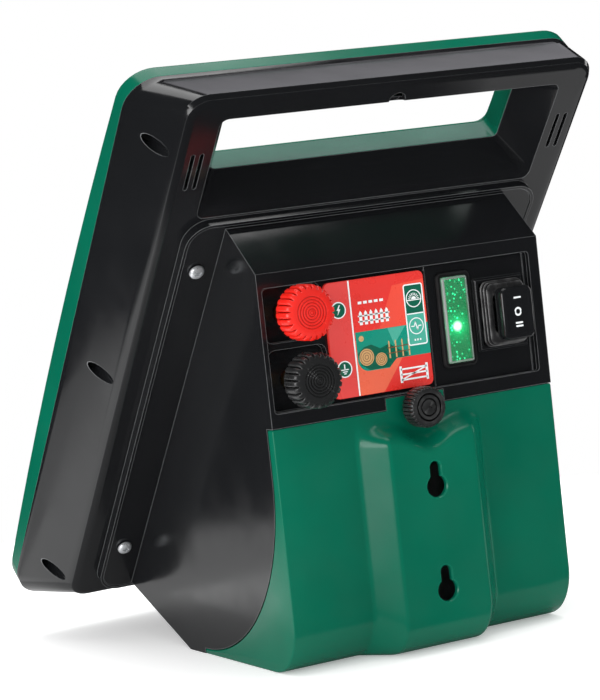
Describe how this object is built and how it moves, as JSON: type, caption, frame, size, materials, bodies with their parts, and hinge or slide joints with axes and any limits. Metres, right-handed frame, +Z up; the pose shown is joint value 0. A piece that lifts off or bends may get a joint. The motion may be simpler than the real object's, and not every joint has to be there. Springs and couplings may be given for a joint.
{
  "type": "electric fence energizer",
  "caption": "Portable solar fence energizer: tilted panel frame with a carrying handle on a wedge housing with terminal knobs, rocker switch, window and battery cover.",
  "frame": {"origin": "centre of the bounding box in plan, on the surface that the unit stands on", "axes": "+Z up, +X across the unit to the right as its control face is read, +Y from the control face to the solar panel"},
  "size_m": [0.302, 0.3166, 0.3528],
  "materials": {
    "black_shell": "glossy moulded",
    "black_moulding": "satin moulded",
    "green_shell": "glossy moulded",
    "red_knob": "satin moulded",
    "black_knob": "satin moulded",
    "red_label": "printed film",
    "rubber": "matt",
    "zinc_steel": "zinc plated",
    "brass": "turned",
    "panel_glass": "clear",
    "clear_lens": "clear",
    "cell_film": "laminated cells",
    "board": "solder mask",
    "diode": "lit lens",
    "winding": "varnished copper",
    "capacitor_can": "sleeved can",
    "bare_aluminium": "bare",
    "battery_case": "moulded",
    "foam": "closed-cell foam",
    "strap_web": "woven",
    "red_sleeve": "sleeve",
    "black_sleeve": "sleeve"
  },
  "bodies": {
    "main": {"battery": "battery_case", "battery_foam": "foam", "battery_lead_black": "black_sleeve", "battery_lead_red": "red_sleeve", "battery_strap": "strap_web", "battery_tab_minus": "brass", "battery_tab_plus": "brass", "charge_regulator": "bare_aluminium", "circuit_board": "board", "cover_insert": "brass", "earth_nut": "zinc_steel", "earth_stud": "brass", "fence_nut": "zinc_steel", "fence_stud": "brass", "flange_gasket": "rubber", "flange_screw_1": "zinc_steel", "flange_screw_2": "zinc_steel", "flange_screw_3": "zinc_steel", "flange_screw_4": "zinc_steel", "front_shell": "green_shell", "housing": "black_shell", "junction_box": "black_moulding", "label_plate": "red_label", "lead_grommet": "rubber", "led_board": "board", "panel_seal": "rubber", "pulse_transformer": "winding", "rear_shell": "black_shell", "rocker_boot": "rubber", "shell_screw_1": "zinc_steel", "shell_screw_2": "zinc_steel", "shell_screw_3": "zinc_steel", "shell_screw_4": "zinc_steel", "shell_screw_5": "zinc_steel", "shell_screw_6": "zinc_steel", "solar_cells": "cell_film", "solar_glass": "panel_glass", "solar_lead": "black_sleeve", "status_led": "diode", "storage_capacitor": "capacitor_can", "switch_body": "black_moulding", "window_bezel": "rubber", "window_lens": "clear_lens"},
    "cover": {"battery_cover": "green_shell"},
    "cover_washer": {"thumb_washer": "rubber"},
    "cover_screw": {"thumb_knob": "black_knob", "thumb_shank": "zinc_steel"},
    "fence_clamp": {"fence_washer": "zinc_steel"},
    "fence_grip": {"fence_knob": "red_knob"},
    "earth_clamp": {"earth_washer": "zinc_steel"},
    "earth_grip": {"earth_knob": "black_knob"},
    "rocker": {"rocker_cap": "black_knob"}
  },
  "joints": [
    {"name": "cover_pull", "type": "slide", "parent": "main", "child": "cover", "axis": [0, -1, 0], "range_m": [0, 0.13]},
    {"name": "cover_screw_travel", "type": "slide", "parent": "cover", "child": "cover_washer", "axis": [0, -1, 0], "range_m": [0, 0.003]},
    {"name": "cover_screw_turn", "type": "hinge", "parent": "cover_washer", "child": "cover_screw", "pos_m": [0, -0.13371, 0.143], "axis": [0, -1, 0], "range_deg": [0, 1080]},
    {"name": "fence_clamp_travel", "type": "slide", "parent": "main", "child": "fence_clamp", "axis": [0, -1, 0], "range_m": [0, 0.0045]},
    {"name": "fence_knob_turn", "type": "hinge", "parent": "fence_clamp", "child": "fence_grip", "pos_m": [-0.0764, -0.13831, 0.208], "axis": [0, -1, 0], "range_deg": [0, 1080]},
    {"name": "earth_clamp_travel", "type": "slide", "parent": "main", "child": "earth_clamp", "axis": [0, -1, 0], "range_m": [0, 0.0045]},
    {"name": "earth_knob_turn", "type": "hinge", "parent": "earth_clamp", "child": "earth_grip", "pos_m": [-0.0761, -0.13831, 0.1696], "axis": [0, -1, 0], "range_deg": [0, 1080]},
    {"name": "rocker_tilt", "type": "hinge", "parent": "main", "child": "rocker", "pos_m": [0.066, -0.13231, 0.1895], "axis": [1, 0, 0], "range_deg": [-8, 8]}
  ],
  "couplings": [
    {"joint": "cover_screw_turn", "follows": "cover_screw_travel", "rad_per_m": 6283.2},
    {"joint": "fence_knob_turn", "follows": "fence_clamp_travel", "rad_per_m": 4188.8},
    {"joint": "earth_knob_turn", "follows": "earth_clamp_travel", "rad_per_m": 4188.8}
  ]
}
